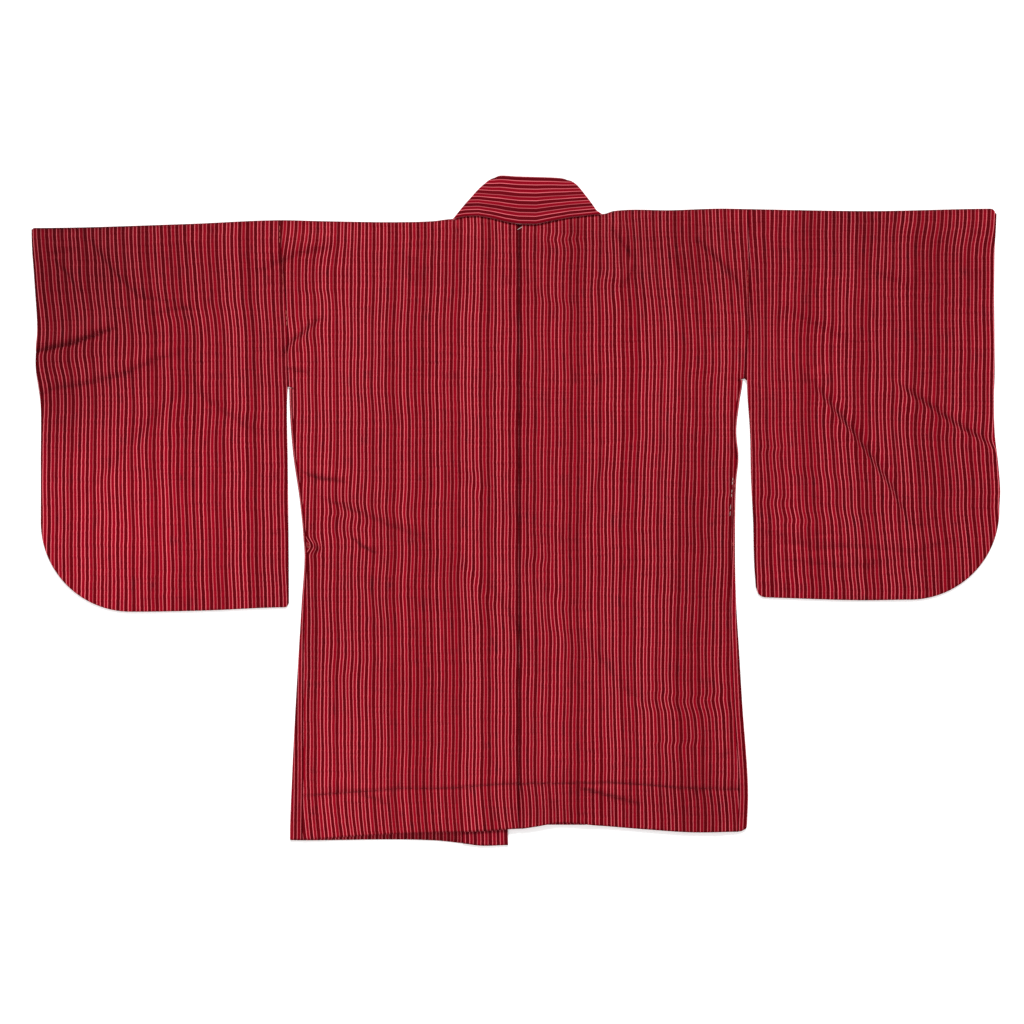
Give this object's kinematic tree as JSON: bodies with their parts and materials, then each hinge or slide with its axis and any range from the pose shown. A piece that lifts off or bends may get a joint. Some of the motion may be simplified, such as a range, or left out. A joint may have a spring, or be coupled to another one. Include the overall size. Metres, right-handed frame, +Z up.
{
  "type": "haori jacket laid flat",
  "caption": "Hip-length striped haori lying face down and spread flat, with bag sleeves rounded at the outer bottom corners, side gussets and a strip collar opened upwards.",
  "frame": {"origin": "on the surface the garment lies on, in the middle of its outline", "axes": "+X towards the wearer's right sleeve, +Y towards the collar, +Z up out of the back"},
  "size_m": [1.239, 0.8567, 0.0074],
  "materials": {
    "body_cloth": "silk, striped lengthwise in dark maroon, crimson and pink, soft sheen",
    "sleeve_cloth": "the same striped silk, a little duskier",
    "collar_cloth": "the same striped silk with the stripes along the strip"
  },
  "bodies": {
    "root": {"body_left": "body_cloth", "body_right": "body_cloth", "sleeve_left": "sleeve_cloth", "sleeve_right": "sleeve_cloth", "machi_left": "body_cloth", "machi_right": "body_cloth", "collar": "collar_cloth"}
  },
  "joints": []
}
